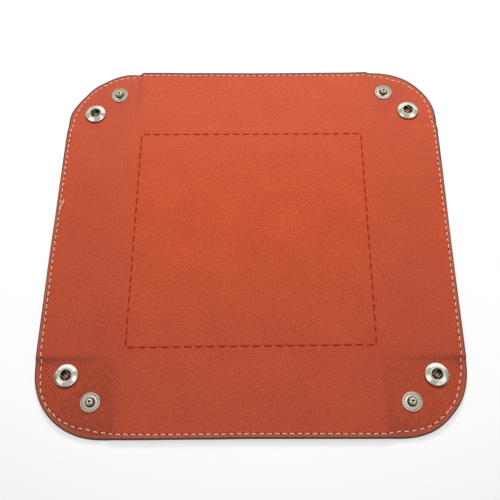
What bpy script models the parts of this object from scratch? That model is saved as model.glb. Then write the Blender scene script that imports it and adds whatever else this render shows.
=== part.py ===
# Folding dice tray, lying open and flat.
# Two leather skins are sewn together over stiff boards. The four walls fold up about the base's
# edges, each corner square folds on its diagonal as a pair of gussets, and a snap fastener in
# each corner holds the gussets together.
# Metres, +Z up, front wall towards -Y, resting at z = 0 with the origin under its middle.

import math
from functools import partial

import bmesh
import bpy

# Outline of the open tray
TRAY_WIDTH = 0.220
CORNER_RADIUS = 0.035
WALL_DEPTH = 0.039  # fold line to outer edge
FOLD_GAP = 0.0003  # between the panels on either side of a fold
CREASE_RELIEF = math.radians(19.5)  # slope of the panel ends that turn towards each other under a crease

# Skins and boards
TOP_SKIN = 0.0008
BOTTOM_SKIN = 0.0008
BOARD = 0.0008
GLUE_LINE = 0.0002
SEAM_TO_FOLD = 0.0060  # sewn square round the base board, inside the fold lines
SEAM_TO_BOARD = 0.0015
HEM_SEAM = 0.0024  # outer edge to the hem's seam
HEM_SEAM_TO_BOARD = 0.0024
FOLD_TO_BOARD = 0.0020
CREASE_TO_BOARD = 0.0025
BOARD_CORNER_RADIUS = 0.0020
POCKET_SLOPE = 0.0015  # run over which the bottom skin drops to pass under a board

# Square seam: one thread that shows as dashes and dips between them into a groove in the top skin
SEAM_THREAD_RADIUS = 0.00024
SEAM_PITCH = 0.0059
SEAM_DIP_LENGTH = 0.0006
SEAM_STAND = 0.0001  # middle of a dash above the leather
SEAM_GROOVE_DEPTH = 0.0006
SEAM_GROOVE_CLEARANCE = 0.00015
CUT_OVERRUN = 0.001

# Snap fasteners, placed from the corner of the base
SNAP_ALONG_CREASE = 0.0230
SNAP_FROM_CREASE = 0.0094
SNAP_SEAT = 0.0002  # between leather and metal
METAL_GAP = 0.0001
LEATHER_HOLE_CLEARANCE = 0.0002

# Snap socket: a domed ring with a floor, and a channel inside its mouth for the spring
SOCKET_RADIUS = 0.0062
SOCKET_HEIGHT = 0.0017
SOCKET_RIM = 0.0004
SOCKET_CROWN_RADIUS = 0.0034
SOCKET_MOUTH_RADIUS = 0.00275
SOCKET_MOUTH_FALL = 0.00015
SOCKET_CHANNEL_RADIUS = 0.0035
SOCKET_LIP = 0.00035
SOCKET_FLOOR = 0.0004

# Socket spring: one bent wire whose two legs cross the mouth
SPRING_WIRE_RADIUS = 0.00021
SPRING_LEG_SPACING = 0.0036
SPRING_LEG_BOW = 0.0002

# Socket cap: domed head under the leather, with a hollow shank rolled over the socket's floor
CAP_RADIUS = 0.0060
CAP_HEAD = 0.0007
CAP_RIM = 0.0003
CAP_SHANK_RADIUS = 0.0015
CAP_BORE_RADIUS = 0.0010
CAP_ROLL_RADIUS = 0.0019
CAP_ROLL = 0.0002

# Snap stud: a flat flange, with a hollow post whose head is wider than its neck
STUD_RADIUS = 0.0050
STUD_FLANGE = 0.0004
STUD_HEIGHT = 0.0024
STUD_NECK_RADIUS = 0.00145
STUD_HEAD_RADIUS = 0.0019
STUD_HEAD = 0.0011
STUD_FILLET = 0.0004

# Stud rivet: domed head under the leather, with a shank rolled over the stud's post
RIVET_RADIUS = 0.0048
RIVET_HEAD = 0.0007
RIVET_RIM = 0.0003
RIVET_SHANK_RADIUS = 0.0009
RIVET_BORE_RADIUS = 0.0005
RIVET_ROLL_RADIUS = 0.0013
RIVET_ROLL = 0.0003

# Fineness of the round shapes
ARC_STEPS = 10
TURN_STEPS = 24
HOLE_STEPS = 16
DOME_STEPS = 5
FILLET_STEPS = 3
SPRING_ARC_STEPS = 6
SPRING_LEG_STEPS = 4
SMOOTH_ANGLE = math.radians(35)

# Sizes worked out from the outline and the layers, with depths measured down from the top face
FOLD_WIDTH = TRAY_WIDTH - 2 * WALL_DEPTH  # between opposite fold lines
SEAM_WIDTH = FOLD_WIDTH - 2 * SEAM_TO_FOLD
PINCHED_TOP = TOP_SKIN + GLUE_LINE  # top of the bottom skin where there is no board
PINCHED = PINCHED_TOP + BOTTOM_SKIN  # whole thickness where there is no board
POCKET_DROP = BOARD + GLUE_LINE  # how far the bottom skin drops under a board
THICKNESS = PINCHED + POCKET_DROP
ARC_CENTRE = TRAY_WIDTH / 2 - CORNER_RADIUS
HALF_GAP = FOLD_GAP / 2

# Each wall with the turn that points its own +Y away from the base, the names of its ends, and the
# half of the snap that its gussets carry
WALLS = (
    ("back", 0, {1: "right", -1: "left"}, "stud"),
    ("left", 90, {1: "back", -1: "front"}, "socket"),
    ("front", 180, {1: "left", -1: "right"}, "stud"),
    ("right", 270, {1: "front", -1: "back"}, "socket"),
)
SNAP_PIECES = {"socket": ("socket", "socket_spring", "socket_cap"), "stud": ("stud", "stud_rivet")}


def clear_scene():
    for old in list(bpy.data.objects):
        bpy.data.objects.remove(old)


def make_material(name, colour, roughness, metallic):
    material = bpy.data.materials.new(name)
    material.use_nodes = True
    shader = material.node_tree.nodes["Principled BSDF"]
    shader.inputs["Base Color"].default_value = (*colour, 1.0)
    shader.inputs["Roughness"].default_value = roughness
    shader.inputs["Metallic"].default_value = metallic
    material.diffuse_color = (*colour, 1.0)
    return material


def make_empty(name, location, turn, parent=None):
    empty = bpy.data.objects.new(name, None)
    bpy.context.collection.objects.link(empty)
    empty.location = location
    empty.rotation_euler = (0, 0, math.radians(turn))
    empty.parent = parent
    empty.empty_display_size = WALL_DEPTH / 2
    return empty


def place_piece(name, data, material, parent, location=(0, 0, 0), turn=0.0):
    """One named sub-part, hung on its parent's axis."""
    piece = bpy.data.objects.new(name, data)
    bpy.context.collection.objects.link(piece)
    piece.parent = parent
    piece.location = location
    piece.rotation_euler = (0, 0, turn)
    if material and not data.materials:
        data.materials.append(material)
    return piece


def finish_mesh(bm, name, smooth=False):
    bmesh.ops.recalc_face_normals(bm, faces=bm.faces[:])
    mesh = bpy.data.meshes.new(name)
    bm.to_mesh(mesh)
    bm.free()
    if smooth:
        mesh.shade_smooth()
        mesh.set_sharp_from_angle(angle=SMOOTH_ANGLE)
    return mesh


def add_loop(bm, points, z):
    """A closed ring of edges through the points, at one height."""
    verts = [bm.verts.new((x, y, z)) for x, y in points]
    return [bm.edges.new((verts[i - 1], verts[i])) for i in range(len(verts))]


def rectangle(x_low, x_high, y_low, y_high):
    return [(x_low, y_low), (x_high, y_low), (x_high, y_high), (x_low, y_high)]


def circle(centre, radius, steps):
    angles = [2 * math.pi * i / steps for i in range(steps)]
    return [(centre[0] + radius * math.cos(a), centre[1] + radius * math.sin(a)) for a in angles]


def fill_flat(bm, edges):
    bmesh.ops.triangle_fill(bm, edges=edges, use_beauty=True, use_dissolve=False, normal=(0, 0, 1))


def thicken_down(bm, thickness):
    """Turns the sheet in bm into a closed solid that hangs below it."""
    made = bmesh.ops.extrude_face_region(bm, geom=bm.faces[:])
    lower = [g for g in made["geom"] if isinstance(g, bmesh.types.BMVert)]
    bmesh.ops.translate(bm, verts=lower, vec=(0, 0, -thickness))
    return lower


def follow_outline(verts, upper, lower):
    """Moves each vertex under a point of the upper outline to the same point of the lower one."""
    for vert in verts:
        for (x, y), place in zip(upper, lower):
            if math.hypot(vert.co.x - x, vert.co.y - y) < HALF_GAP / 10:
                vert.co.x, vert.co.y = place
                break


def skin_mesh(name, outline_at, depth, thickness, hole=None, pocket=None):
    """A skin whose top is depth below the top face, with a hole for a snap or a pocket over a board.

    outline_at gives the panel's outline at any depth, because its ends slope away from a crease.
    """
    bm = bmesh.new()
    edges = add_loop(bm, outline_at(depth), -depth)
    if hole:
        edges += add_loop(bm, hole, -depth)
    if pocket:
        rim = add_loop(bm, pocket_outline(pocket, GLUE_LINE + POCKET_SLOPE), -depth)
        floor = add_loop(bm, pocket_outline(pocket, GLUE_LINE), -depth - POCKET_DROP)
        bmesh.ops.bridge_loops(bm, edges=rim + floor)
        bmesh.ops.contextual_create(bm, geom=floor)
        edges += rim
    fill_flat(bm, edges)
    lower = thicken_down(bm, thickness)
    follow_outline(lower, outline_at(depth), outline_at(depth + thickness))
    return finish_mesh(bm, name)


def pocket_outline(board, margin):
    x_low, x_high, y_low, y_high = board
    return rectangle(x_low - margin, x_high + margin, y_low - margin, y_high + margin)


def board_mesh(name, board):
    """A stiffener with rounded corners, one glue line under the top skin."""
    bm = bmesh.new()
    edges = add_loop(bm, rectangle(*board), -TOP_SKIN - GLUE_LINE)
    fill_flat(bm, edges)
    bmesh.ops.dissolve_limit(bm, angle_limit=SMOOTH_ANGLE, verts=bm.verts[:], edges=bm.edges[:])
    thicken_down(bm, BOARD)
    upright = [e for e in bm.edges if e.verts[0].co.xy == e.verts[1].co.xy]
    bmesh.ops.bevel(
        bm,
        geom=upright,
        offset=BOARD_CORNER_RADIUS,
        offset_type="OFFSET",
        segments=FILLET_STEPS,
        profile=0.5,
        affect="EDGES",
        material=-1,
    )
    return finish_mesh(bm, name)


def hem_point(x):
    """The point of the tray's outer edge at x along a wall, in the wall's own frame."""
    across = max(abs(x) - ARC_CENTRE, 0)
    rise = math.sqrt(CORNER_RADIUS**2 - across**2)
    return (x, ARC_CENTRE - FOLD_WIDTH / 2 + rise)


def hem_run(x_from, x_to):
    """The outer edge from one x to a larger one, with the corner's arc in even steps."""
    points = [hem_point(x_from)]
    if x_to > ARC_CENTRE:
        start = max(x_from, ARC_CENTRE)
        if start > x_from:
            points.append(hem_point(start))
        first = math.asin((start - ARC_CENTRE) / CORNER_RADIUS)
        last = math.asin((x_to - ARC_CENTRE) / CORNER_RADIUS)
        for i in range(1, ARC_STEPS):
            angle = first + (last - first) * i / ARC_STEPS
            points.append(hem_point(ARC_CENTRE + CORNER_RADIUS * math.sin(angle)))
    return points + [hem_point(x_to)]


def crease_setback(depth):
    """How far a panel's end stands back from its crease, at a depth below the top face."""
    return HALF_GAP + depth * math.tan(CREASE_RELIEF)


def wall_outline(depth):
    end = FOLD_WIDTH / 2 - crease_setback(depth)
    right = hem_run(0, end)
    left = [(-x, y) for x, y in right[:0:-1]]
    return [(-end, HALF_GAP), *left, *right, (end, HALF_GAP)]


def gusset_outline(hand, depth):
    """Half of a corner square, from its crease to its diagonal, with x counted from the crease."""
    setback = crease_setback(depth)
    off_diagonal = HALF_GAP * math.sqrt(2)
    on_arc = math.acos(HALF_GAP / CORNER_RADIUS) - math.pi / 4
    diagonal_x = ARC_CENTRE + CORNER_RADIUS * math.sin(on_arc)
    run = hem_run(FOLD_WIDTH / 2 + setback, diagonal_x)
    tip = (setback, setback + off_diagonal)
    outer = [(x - FOLD_WIDTH / 2, y) for x, y in run]
    return [(hand * x, y) for x, y in [tip, *outer]]


def turned_mesh(name, profile):
    """A closed or axis-to-axis profile of (radius, height) points, turned about Z."""
    bm = bmesh.new()
    verts = [bm.verts.new((r, 0, z)) for r, z in profile]
    edges = [bm.edges.new(pair) for pair in zip(verts, verts[1:])]
    if profile[0][0] > 0:
        edges.append(bm.edges.new((verts[-1], verts[0])))
    bmesh.ops.spin(
        bm,
        geom=verts + edges,
        axis=(0, 0, 1),
        cent=(0, 0, 0),
        angle=2 * math.pi,
        steps=TURN_STEPS,
        use_merge=True,
    )
    bmesh.ops.remove_doubles(bm, verts=bm.verts[:], dist=METAL_GAP / 10)
    return finish_mesh(bm, name, smooth=True)


def socket_profile():
    """Up the rim, over the dome, down into the mouth, and round the spring's channel to the floor."""
    top = SNAP_SEAT + SOCKET_HEIGHT
    rim = SNAP_SEAT + SOCKET_RIM
    floor = SNAP_SEAT + SOCKET_FLOOR
    mouth = top - SOCKET_MOUTH_FALL
    hole = CAP_SHANK_RADIUS + METAL_GAP
    dome = []
    for i in range(DOME_STEPS + 1):
        share = 1 - i / DOME_STEPS
        radius = SOCKET_CROWN_RADIUS + (SOCKET_RADIUS - SOCKET_CROWN_RADIUS) * share
        dome.append((radius, top - (top - rim) * share**2))
    return [
        (hole, SNAP_SEAT),
        (SOCKET_RADIUS, SNAP_SEAT),
        *dome,
        (SOCKET_MOUTH_RADIUS, mouth),
        (SOCKET_MOUTH_RADIUS, mouth - SOCKET_LIP),
        (SOCKET_CHANNEL_RADIUS, mouth - SOCKET_LIP),
        (SOCKET_CHANNEL_RADIUS, floor),
        (hole, floor),
    ]


def head_profile(radius, head, rim):
    """The outer side of a domed rivet head under the leather, from its middle to its seat."""
    seat = -PINCHED - SNAP_SEAT
    points = []
    for i in range(DOME_STEPS + 1):
        share = i / DOME_STEPS
        points.append((radius * share, seat - head + (head - rim) * share**4))
    return points + [(radius, seat)]


def cap_profile():
    roll = SNAP_SEAT + SOCKET_FLOOR + METAL_GAP
    return [
        *head_profile(CAP_RADIUS, CAP_HEAD, CAP_RIM),
        (CAP_SHANK_RADIUS, -PINCHED - SNAP_SEAT),
        (CAP_SHANK_RADIUS, roll),
        (CAP_ROLL_RADIUS, roll),
        (CAP_ROLL_RADIUS - METAL_GAP, roll + CAP_ROLL),
        (CAP_BORE_RADIUS, roll + CAP_ROLL),
        (CAP_BORE_RADIUS, -PINCHED),
        (0, -PINCHED),
    ]


def stud_profile():
    """Flange, fillet, neck and round head, with a bore for the rivet's shank."""
    flange = SNAP_SEAT + STUD_FLANGE
    top = SNAP_SEAT + STUD_HEIGHT
    bore = RIVET_SHANK_RADIUS + METAL_GAP
    head = []
    for i in range(FILLET_STEPS + 2):
        angle = math.pi * i / (FILLET_STEPS + 1)
        radius = STUD_NECK_RADIUS + (STUD_HEAD_RADIUS - STUD_NECK_RADIUS) * math.sin(angle)
        head.append((radius, top - STUD_HEAD / 2 * (1 + math.cos(angle))))
    return [
        (bore, SNAP_SEAT),
        (STUD_RADIUS, SNAP_SEAT),
        (STUD_RADIUS, flange - METAL_GAP),
        (STUD_RADIUS - METAL_GAP, flange),
        (STUD_NECK_RADIUS + STUD_FILLET, flange),
        (STUD_NECK_RADIUS, flange + STUD_FILLET),
        *head,
        (bore, top),
    ]


def rivet_profile():
    roll = SNAP_SEAT + STUD_HEIGHT + METAL_GAP
    return [
        *head_profile(RIVET_RADIUS, RIVET_HEAD, RIVET_RIM),
        (RIVET_SHANK_RADIUS, -PINCHED - SNAP_SEAT),
        (RIVET_SHANK_RADIUS, roll),
        (RIVET_ROLL_RADIUS, roll),
        (RIVET_ROLL_RADIUS - RIVET_ROLL / 2, roll + RIVET_ROLL),
        (RIVET_BORE_RADIUS, roll + RIVET_ROLL),
        (RIVET_BORE_RADIUS, -PINCHED),
        (0, -PINCHED),
    ]


def wire_curve(name, route, radius, resolution, cyclic=False):
    """A round wire or thread through the points."""
    curve = bpy.data.curves.new(name, "CURVE")
    curve.dimensions = "3D"
    spline = curve.splines.new("POLY")
    spline.points.add(len(route) - 1)
    for point, place in zip(spline.points, route):
        point.co = (*place, 1)
    spline.use_cyclic_u = cyclic
    curve.bevel_depth = radius
    curve.bevel_resolution = resolution
    curve.use_fill_caps = True
    return curve


def spring_curve(name):
    """The wire's route: up one bowed leg, round inside the channel, and down the other leg."""
    ring = SOCKET_CHANNEL_RADIUS - SPRING_WIRE_RADIUS - METAL_GAP
    half = SPRING_LEG_SPACING / 2
    turn_angle = math.acos(half / ring)
    reach = ring * math.sin(turn_angle)
    height = SNAP_SEAT + SOCKET_HEIGHT - SOCKET_MOUTH_FALL - SOCKET_LIP - SPRING_WIRE_RADIUS - METAL_GAP
    leg = []
    for i in range(SPRING_LEG_STEPS + 1):
        share = 2 * i / SPRING_LEG_STEPS - 1
        leg.append((half - SPRING_LEG_BOW * (1 - share**2), reach * share))
    bend = []
    for i in range(1, SPRING_ARC_STEPS):
        angle = turn_angle + (math.pi - 2 * turn_angle) * i / SPRING_ARC_STEPS
        bend.append((ring * math.cos(angle), ring * math.sin(angle)))
    route = [*leg, *bend, *[(-x, y) for x, y in reversed(leg)]]
    return wire_curve(name, [(x, y, height) for x, y in route], SPRING_WIRE_RADIUS, 1)


def seam_curve(name):
    """The square seam's thread: dashes, with a dip into the groove between each two."""
    half = SEAM_WIDTH / 2
    count = round(SEAM_WIDTH / SEAM_PITCH)
    dip = SEAM_THREAD_RADIUS + SEAM_GROOVE_CLEARANCE - SEAM_GROOVE_DEPTH
    side = [(-half, SEAM_STAND)]
    for i in range(1, count):
        middle = SEAM_WIDTH * i / count - half
        side.append((middle - SEAM_DIP_LENGTH, SEAM_STAND))
        side.append((middle, dip))
        side.append((middle + SEAM_DIP_LENGTH, SEAM_STAND))
    route = []
    for turn in (0, 90, 180, 270):
        c = math.cos(math.radians(turn))
        s = math.sin(math.radians(turn))
        route += [(run * c + half * s, run * s - half * c, height) for run, height in side]
    return wire_curve(name, route, SEAM_THREAD_RADIUS, 0, cyclic=True)


def add_seam_groove(skin, parent):
    """Cuts the groove that the square seam's thread lies in."""
    half_width = SEAM_THREAD_RADIUS + SEAM_GROOVE_CLEARANCE
    bm = bmesh.new()
    edges = []
    for reach in (SEAM_WIDTH / 2 - half_width, SEAM_WIDTH / 2 + half_width):
        edges += add_loop(bm, rectangle(-reach, reach, -reach, reach), CUT_OVERRUN)
    fill_flat(bm, edges)
    thicken_down(bm, CUT_OVERRUN + SEAM_GROOVE_DEPTH)
    cutter = place_piece("seam_groove_cutter", finish_mesh(bm, "seam_groove_cutter"), None, parent)
    cutter.hide_render = True
    cutter.display_type = "WIRE"
    cut = skin.modifiers.new("seam_groove", "BOOLEAN")
    cut.operation = "DIFFERENCE"
    cut.object = cutter


def add_base(leather, lining, card, thread):
    """The floor of the tray: two skins, and the board inside the sewn square."""
    middle = make_empty("base_frame", (0, 0, THICKNESS), 0)
    side = FOLD_WIDTH / 2 - HALF_GAP
    reach = SEAM_WIDTH / 2 - SEAM_TO_BOARD
    board = (-reach, reach, -reach, reach)

    def outline(depth):
        return rectangle(-side, side, -side, side)

    top = skin_mesh("base_top_skin", outline, 0, TOP_SKIN)
    bottom = skin_mesh("base_bottom_skin", outline, PINCHED_TOP, BOTTOM_SKIN, pocket=board)
    skin = place_piece("base_top_skin", top, leather, middle)
    add_seam_groove(skin, middle)
    place_piece("square_seam_thread", seam_curve("square_seam_thread"), thread, middle)
    place_piece("base_board", board_mesh("base_board", board), card, middle)
    place_piece("base_bottom_skin", bottom, lining, middle)


def wall_meshes():
    """One wall's skins and board, in the wall's own frame, for all four walls."""
    reach = FOLD_WIDTH / 2 - CREASE_TO_BOARD
    board = (-reach, reach, FOLD_TO_BOARD, WALL_DEPTH - HEM_SEAM - HEM_SEAM_TO_BOARD)
    top = skin_mesh("wall_top_skin", wall_outline, 0, TOP_SKIN)
    bottom = skin_mesh("wall_bottom_skin", wall_outline, PINCHED_TOP, BOTTOM_SKIN, pocket=board)
    return top, bottom, board_mesh("wall_board", board)


def gusset_meshes(hand, shank_radius):
    """One gusset's two skins, with the hole for its snap's shank."""
    centre = (hand * SNAP_FROM_CREASE, SNAP_ALONG_CREASE)
    hole = circle(centre, shank_radius + LEATHER_HOLE_CLEARANCE, HOLE_STEPS)
    outline = partial(gusset_outline, hand)
    top = skin_mesh("gusset_top_skin", outline, 0, TOP_SKIN, hole=hole)
    bottom = skin_mesh("gusset_bottom_skin", outline, PINCHED_TOP, BOTTOM_SKIN, hole=hole)
    return top, bottom


def add_snap(kind, corner, parent, hand, meshes, nickel):
    """A snap's pieces, on one axis through the gusset's hole."""
    centre = (hand * SNAP_FROM_CREASE, SNAP_ALONG_CREASE, 0)
    # The spring's legs run square to the corner's diagonal, the way that the stud leans in.
    turn = hand * math.pi / 4
    for piece in SNAP_PIECES[kind]:
        place_piece(f"{piece}_{corner}", meshes[piece], nickel, parent, centre, turn)


def corner_name(wall, end):
    """The same name from either wall of a corner: front or back first."""
    return f"{wall}_{end}" if wall in ("front", "back") else f"{end}_{wall}"


def build_tray():
    clear_scene()
    leather = make_material("rust_leather", (0.55, 0.10, 0.042), 0.55, 0.0)
    lining = make_material("brown_lining", (0.20, 0.055, 0.030), 0.65, 0.0)
    card = make_material("grey_board", (0.42, 0.40, 0.36), 0.85, 0.0)
    thread = make_material("dark_red_thread", (0.16, 0.022, 0.014), 0.8, 0.0)
    nickel = make_material("nickel", (0.72, 0.69, 0.62), 0.22, 1.0)

    snap_meshes = {
        "socket": turned_mesh("socket", socket_profile()),
        "socket_spring": spring_curve("socket_spring"),
        "socket_cap": turned_mesh("socket_cap", cap_profile()),
        "stud": turned_mesh("stud", stud_profile()),
        "stud_rivet": turned_mesh("stud_rivet", rivet_profile()),
    }
    shanks = {"socket": CAP_SHANK_RADIUS, "stud": RIVET_SHANK_RADIUS}
    gussets = {(kind, hand): gusset_meshes(hand, shanks[kind]) for kind in shanks for hand in (1, -1)}
    wall_top, wall_bottom, wall_board = wall_meshes()

    add_base(leather, lining, card, thread)
    for wall, turn, ends, kind in WALLS:
        outward = math.radians(turn + 90)
        fold = (FOLD_WIDTH / 2 * math.cos(outward), FOLD_WIDTH / 2 * math.sin(outward), THICKNESS)
        hinge = make_empty(f"{wall}_wall_fold", fold, turn)
        place_piece(f"{wall}_wall_top_skin", wall_top, leather, hinge)
        place_piece(f"{wall}_wall_board", wall_board, card, hinge)
        place_piece(f"{wall}_wall_bottom_skin", wall_bottom, lining, hinge)
        for hand, end in ends.items():
            name = f"{wall}_{end}_gusset"
            crease = make_empty(f"{name}_fold", (hand * FOLD_WIDTH / 2, 0, 0), 0, hinge)
            top, bottom = gussets[kind, hand]
            place_piece(f"{name}_top_skin", top, leather, crease)
            place_piece(f"{name}_bottom_skin", bottom, lining, crease)
            add_snap(kind, corner_name(wall, end), crease, hand, snap_meshes, nickel)


build_tray()
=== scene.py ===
import random
from math import atan2, copysign, cos, hypot, pi, radians, sin, sqrt

import bmesh
import bpy
from mathutils import Matrix, Vector


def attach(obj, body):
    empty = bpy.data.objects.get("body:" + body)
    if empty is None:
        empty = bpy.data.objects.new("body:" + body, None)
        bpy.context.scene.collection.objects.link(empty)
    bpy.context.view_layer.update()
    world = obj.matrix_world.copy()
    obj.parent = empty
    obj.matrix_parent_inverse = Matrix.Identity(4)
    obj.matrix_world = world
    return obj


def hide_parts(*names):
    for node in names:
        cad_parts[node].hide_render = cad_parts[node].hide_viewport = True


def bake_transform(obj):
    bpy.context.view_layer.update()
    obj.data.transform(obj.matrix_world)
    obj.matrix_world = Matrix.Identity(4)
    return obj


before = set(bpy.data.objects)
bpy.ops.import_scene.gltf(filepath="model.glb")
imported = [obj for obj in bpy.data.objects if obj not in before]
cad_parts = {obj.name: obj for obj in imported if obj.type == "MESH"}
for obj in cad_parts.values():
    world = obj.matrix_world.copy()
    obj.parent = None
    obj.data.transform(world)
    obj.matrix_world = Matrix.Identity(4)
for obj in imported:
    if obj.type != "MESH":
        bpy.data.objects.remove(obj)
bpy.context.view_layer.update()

toMetres = 0.001  # meshes are made in millimetres and scaled as they are finished
sheetTile = 250.0  # millimetres that the sheet's UV map covers
chance = random.Random(7)

tray = {
    "half": 110.0,  # middle to hem
    "cornerRadius": 35.0,
    "fold": 71.0,  # middle to fold line
    "top": 2.8,  # top face above the table
    "skin": 0.8,
    "glue": 0.2,
    "board": 0.8,
    "bendHalf": 2.0,  # half width of the strip that bends over each fold
    "bendEnd": 3.0,  # the strips stop this far from the base's corners
}
hemAt, foldAt = tray["half"], tray["fold"]
arcCentre = hemAt - tray["cornerRadius"]
pinched = 2 * tray["skin"] + tray["glue"]  # how thick the sheet is where it holds no board
sides = {"back": 0, "left": 90, "front": 180, "right": 270}  # turn that points a wall's own +Y outwards
hemOrder = ["front", "right", "back", "left"]  # counter-clockwise
ends = {
    "back": {1: "right", -1: "left"},
    "left": {1: "back", -1: "front"},
    "front": {1: "left", -1: "right"},
    "right": {1: "front", -1: "back"},
}


def ease(low, high, value):  # climbs smoothly from 0 at low to 1 at high
    share = min(max((value - low) / (high - low), 0.0), 1.0)
    return share * share * (3 - 2 * share)


def between(low, high, share):
    return low + (high - low) * share


def hill(width, value):  # falls smoothly from 1 to 0 at the width
    share = min(abs(value) / width, 1.0)
    return (1 - share * share) ** 2


def ringOf(x, y):  # half width of the rounded square through a point
    a = abs(x) - arcCentre
    b = abs(y) - arcCentre
    return arcCentre + hypot(max(a, 0), max(b, 0)) + min(max(a, b), 0)


def turned(x, y, degrees):
    c, s = cos(radians(degrees)), sin(radians(degrees))
    return x * c - y * s, x * s + y * c


def wallSide(x, y):  # the nearest wall, and the point in that wall's own directions
    if abs(y) >= abs(x):
        side = "back" if y > 0 else "front"
    else:
        side = "left" if x < 0 else "right"
    return side, *turned(x, y, -sides[side])


# How the real sheet lies: the walls stand a little off the table at some of their ends, the corners sag
# beside them, and the hem isn't quite square to the sewn square.
lie = {
    "wallLift": {"back": (2.3, 0.8), "left": (0.5, 0.3), "front": (0.2, 0.2), "right": (0.9, 0.5)},
    "boardEnd": {"back": (68.0, 72.0), "left": (72.7, 70.5), "front": (69.5, 69.5), "right": (69.5, 72.5)},
    "creaseDepth": {"back": (0.03, 0.03), "left": (0.28, 0.03), "front": (0.14, 0.14), "right": (0.03, 0.24)},
    # painted shade: how much darker the corner squares are, at each end of each wall
    "cornerShade": {"back": (0.13, 0.18), "left": (0.0, 0.04), "front": (0.04, 0.16), "right": (0.0, 0.0)},
    "cornerShadeFrom": (-1, 6),  # past the ends of the boards
    "sideShade": (0.18, 0.12),  # painted shade: how much darker the leather is towards the left and the right hem
    "sideShadeFrom": (45, 85),
    # the front corners' clearer lines are partly grain and partly painted shade of light grazing it
    "cornerClear": {"back": (0.5, 0.25), "left": (1.9, 0.5), "front": (1.45, 1.9), "right": (0.25, 1.3)},
    "wallClear": 0.75,  # how clear the leather's lines are
    "baseClear": (0.4, 1.0),  # at the back and at the middle
    "clearChange": 4,  # the clearness changes within this distance of an edge
    "frontShade": 0.3,  # painted shade: the leather is this much darker at the front hem than at the middle
    "frontShadeFrom": 20,
    "creaseTone": 1.6,  # painted shade of a crease of depth 1
    "creaseToneWidth": 4.0,
    "creaseToneStart": 0.35,  # share of its painted shade that a crease has at the fold
    "dustyFrom": (2.5, 1.7),  # distances in from the hem between which the dusty strip starts
    "stepHalf": 2.2,
    "cornerSag": 0.8,
    "sagFrom": 101.0,
    "sagEnds": (0.15, 0.85),  # the sag fades out between these shares of the way to the diagonal
    "liftCurve": 1.3,
    "squareSkew": 0.5,  # the sewn square is this much taller at its left than at its right, at each end
    # how far the hem stands outside a true square, at distances round it from the middle of the front
    "bulge": [
        (0, 1.85), (60, 1.9), (88, 1.55), (106, 0.5), (124, 0.0), (190, -0.1), (260, 0.35), (288, 0.65),
        (306, -0.25), (332, -0.25), (352, -0.85), (404, -1.0), (440, -0.6), (474, -0.15), (484, 0.65),
        (506, -1.95), (517, -2.45), (536, -0.05), (560, 0.3), (592, 0.55), (632, 1.0), (690, 1.05),
        (732, 2.1), (760, 2.4), (800, 2.1),
    ],
    # how far the hem's thread wanders inwards from its usual line, at the same distances
    "seamDrift": [
        (0, 0.0), (65, 0.0), (74, 0.95), (88, 0.65), (106, 0.5), (120, 1.25), (130, 0.75), (137, 0.1),
        (160, 0.0), (200, -0.35), (235, -0.1), (262, -0.2), (271, 0.0), (284, 0.9), (290, 0.95),
        (296, 0.5), (308, 1.0), (314, 1.05), (323, 1.75), (332, 1.15), (339, 0.4), (356, 0.3),
        (368, 0.0), (474, 0.1), (481, 0.6), (490, 0.6), (500, 0.25), (510, 0.5), (516, 0.1),
        (523, 0.4), (533, 1.35), (540, 0.85), (546, 0.1), (575, -0.1), (600, -0.1), (620, 0.0),
        (682, 0.2), (690, 1.0), (697, 0.8), (704, 0.0), (712, 0.1), (724, 0.5), (731, 1.2),
        (739, 1.95), (746, 1.15), (753, 0.3), (775, 0.1),
    ],
}
hemLength = 4 * (2 * arcCentre + pi / 2 * tray["cornerRadius"])


def hemRun(x, y):  # how far round the hem a point lies, counter-clockwise from the middle of the front
    side, u, v = wallSide(x, y)
    if abs(u) <= arcCentre:
        run = -u
    else:
        angle = atan2(abs(u) - arcCentre, max(v - arcCentre, 1e-6))
        run = -copysign(arcCentre + angle * tray["cornerRadius"], u)
    return (hemOrder.index(side) * hemLength / 4 + run) % hemLength


def alongHem(name, run):  # a value from one of the tables that go round the hem
    table = lie[name] + [(lie[name][0][0] + hemLength, lie[name][0][1])]
    for (start, value), (end, after) in zip(table, table[1:]):
        if run <= end:
            return between(value, after, ease(start, end, run))
    return table[-1][1]


def atEnd(name, side, u):  # a value that each end of each wall has for itself
    return lie[name][side][1 if u > 0 else 0]


def pastBoard(side, u):  # how far along a wall a point is past the end of its board
    return abs(u) - atEnd("boardEnd", side, u)


def pastFold(low, high, v):  # climbs from 0 to 1 between two distances past the fold line
    return ease(foldAt + low, foldAt + high, v)


def liftAt(x, y):  # height of the whole sheet above flat
    side, u, v = wallSide(x, y)
    if v <= foldAt:
        return 0.0
    left, right = lie["wallLift"][side]
    outwards = (v - foldAt) / (hemAt - foldAt)
    wall = between(left, right, (u / foldAt + 1) / 2) * outwards ** lie["liftCurve"]
    onCorner = ease(-lie["stepHalf"], lie["stepHalf"], pastBoard(side, u))
    away = (abs(u) - foldAt) / max(v - foldAt, 1e-6)  # 0 at the crease, 1 on the diagonal
    sag = lie["cornerSag"] * ease(lie["sagFrom"], hemAt, ringOf(x, y)) * (1 - ease(*lie["sagEnds"], away))
    return wall * (1 - onCorner) - sag * onCorner


def shifted(x, y):  # a point of the flat sheet moved to where the real hem runs
    ring = ringOf(x, y)
    if ring <= arcCentre:
        square = max(abs(x), abs(y))
        skew = lie["squareSkew"] * (1 - ease(sewnAt + 1, foldAt - 1, square))
        return x, y - skew * x * y / sewnAt ** 2
    a = copysign(max(abs(x) - arcCentre, 0), x)
    b = copysign(max(abs(y) - arcCentre, 0), y)
    out = alongHem("bulge", hemRun(x, y)) * ease(arcCentre, hemAt, ring) / hypot(a, b)
    return x + a * out, y + b * out


pockets = {"baseHalf": 63.5, "wallEnd": 68.5, "wallFrom": 73.0, "wallTo": 105.2, "slope": 1.5}


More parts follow.
